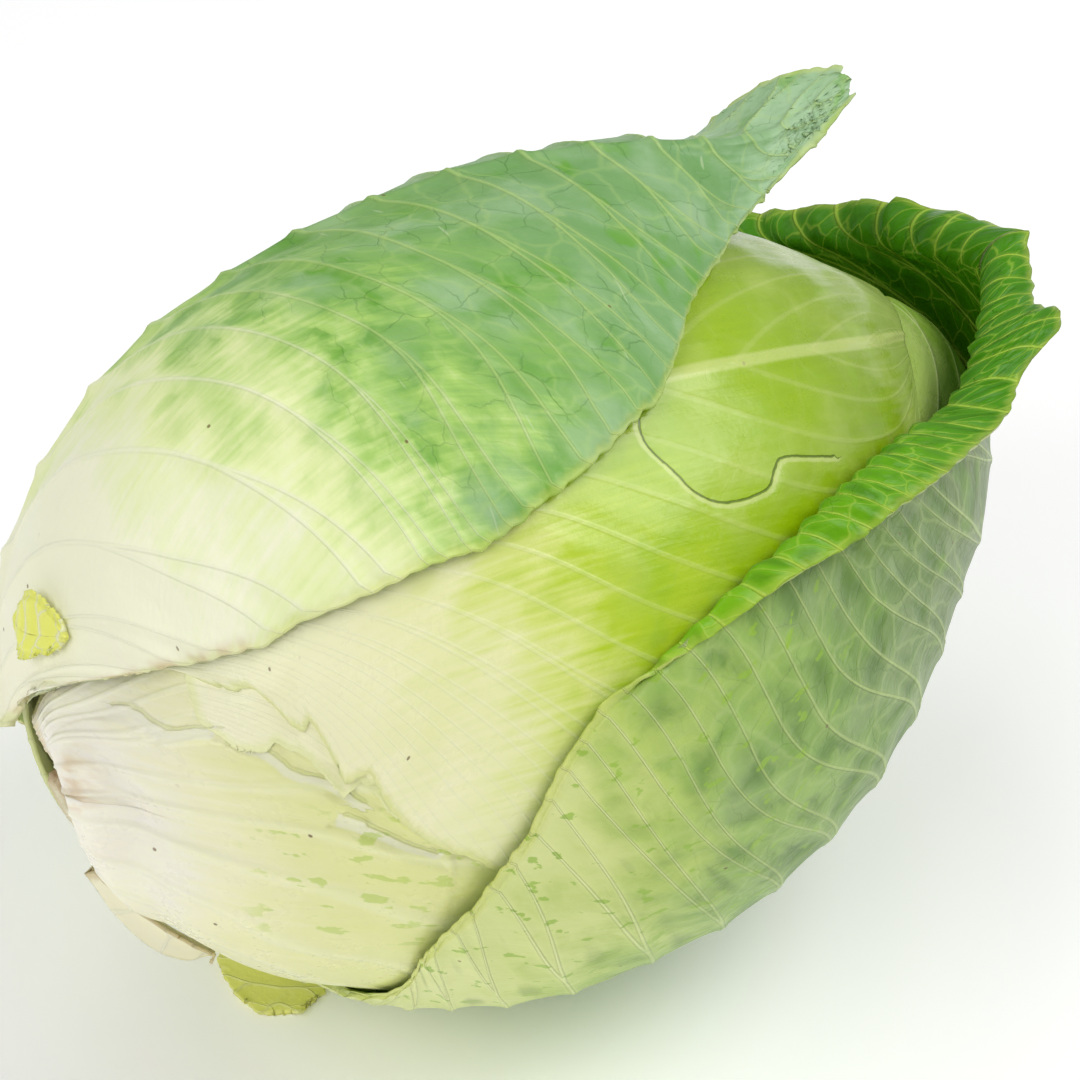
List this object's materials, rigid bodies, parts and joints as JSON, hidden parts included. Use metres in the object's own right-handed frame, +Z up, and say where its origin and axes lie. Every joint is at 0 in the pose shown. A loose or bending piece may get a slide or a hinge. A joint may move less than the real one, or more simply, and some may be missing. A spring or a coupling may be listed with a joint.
{
  "type": "cabbage head",
  "caption": "Pointed head of cabbage lying on its side, with two loose wrapper leaves, a cut stem end and a few leaf remnants.",
  "frame": {"origin": "on the surface the head lies on, below the middle of its widest section", "axes": "+X along the head from the stem end to the tip, +Z up, -Y towards the side where the two wrapper leaves leave the head bare"},
  "size_m": [0.2174, 0.1466, 0.1443],
  "materials": {
    "head_leaf_yellow_green": "fresh yellow-green leaf, slightly glossy",
    "head_leaf_pale": "pale green leaf, satin",
    "head_leaf_cream": "creamy white leaf, satin",
    "cut_stem": "dry cut stem",
    "wrapper_leaf_grey_green": "grey-green leaf with a waxy bloom",
    "wrapper_leaf_green": "green leaf, darker and glossier on its inner side"
  },
  "bodies": {
    "root": {"heart": "head_leaf_yellow_green", "tip_leaf": "head_leaf_pale", "pale_leaf": "head_leaf_cream", "side_leaf": "head_leaf_pale", "cap_leaf": "head_leaf_yellow_green", "stem": "cut_stem", "wrapper_leaf_upper": "wrapper_leaf_grey_green", "wrapper_leaf_lower": "wrapper_leaf_green", "leaf_scrap_corner": "head_leaf_yellow_green", "leaf_scrap_curled": "head_leaf_pale", "leaf_scrap_flat": "head_leaf_yellow_green"}
  },
  "joints": []
}
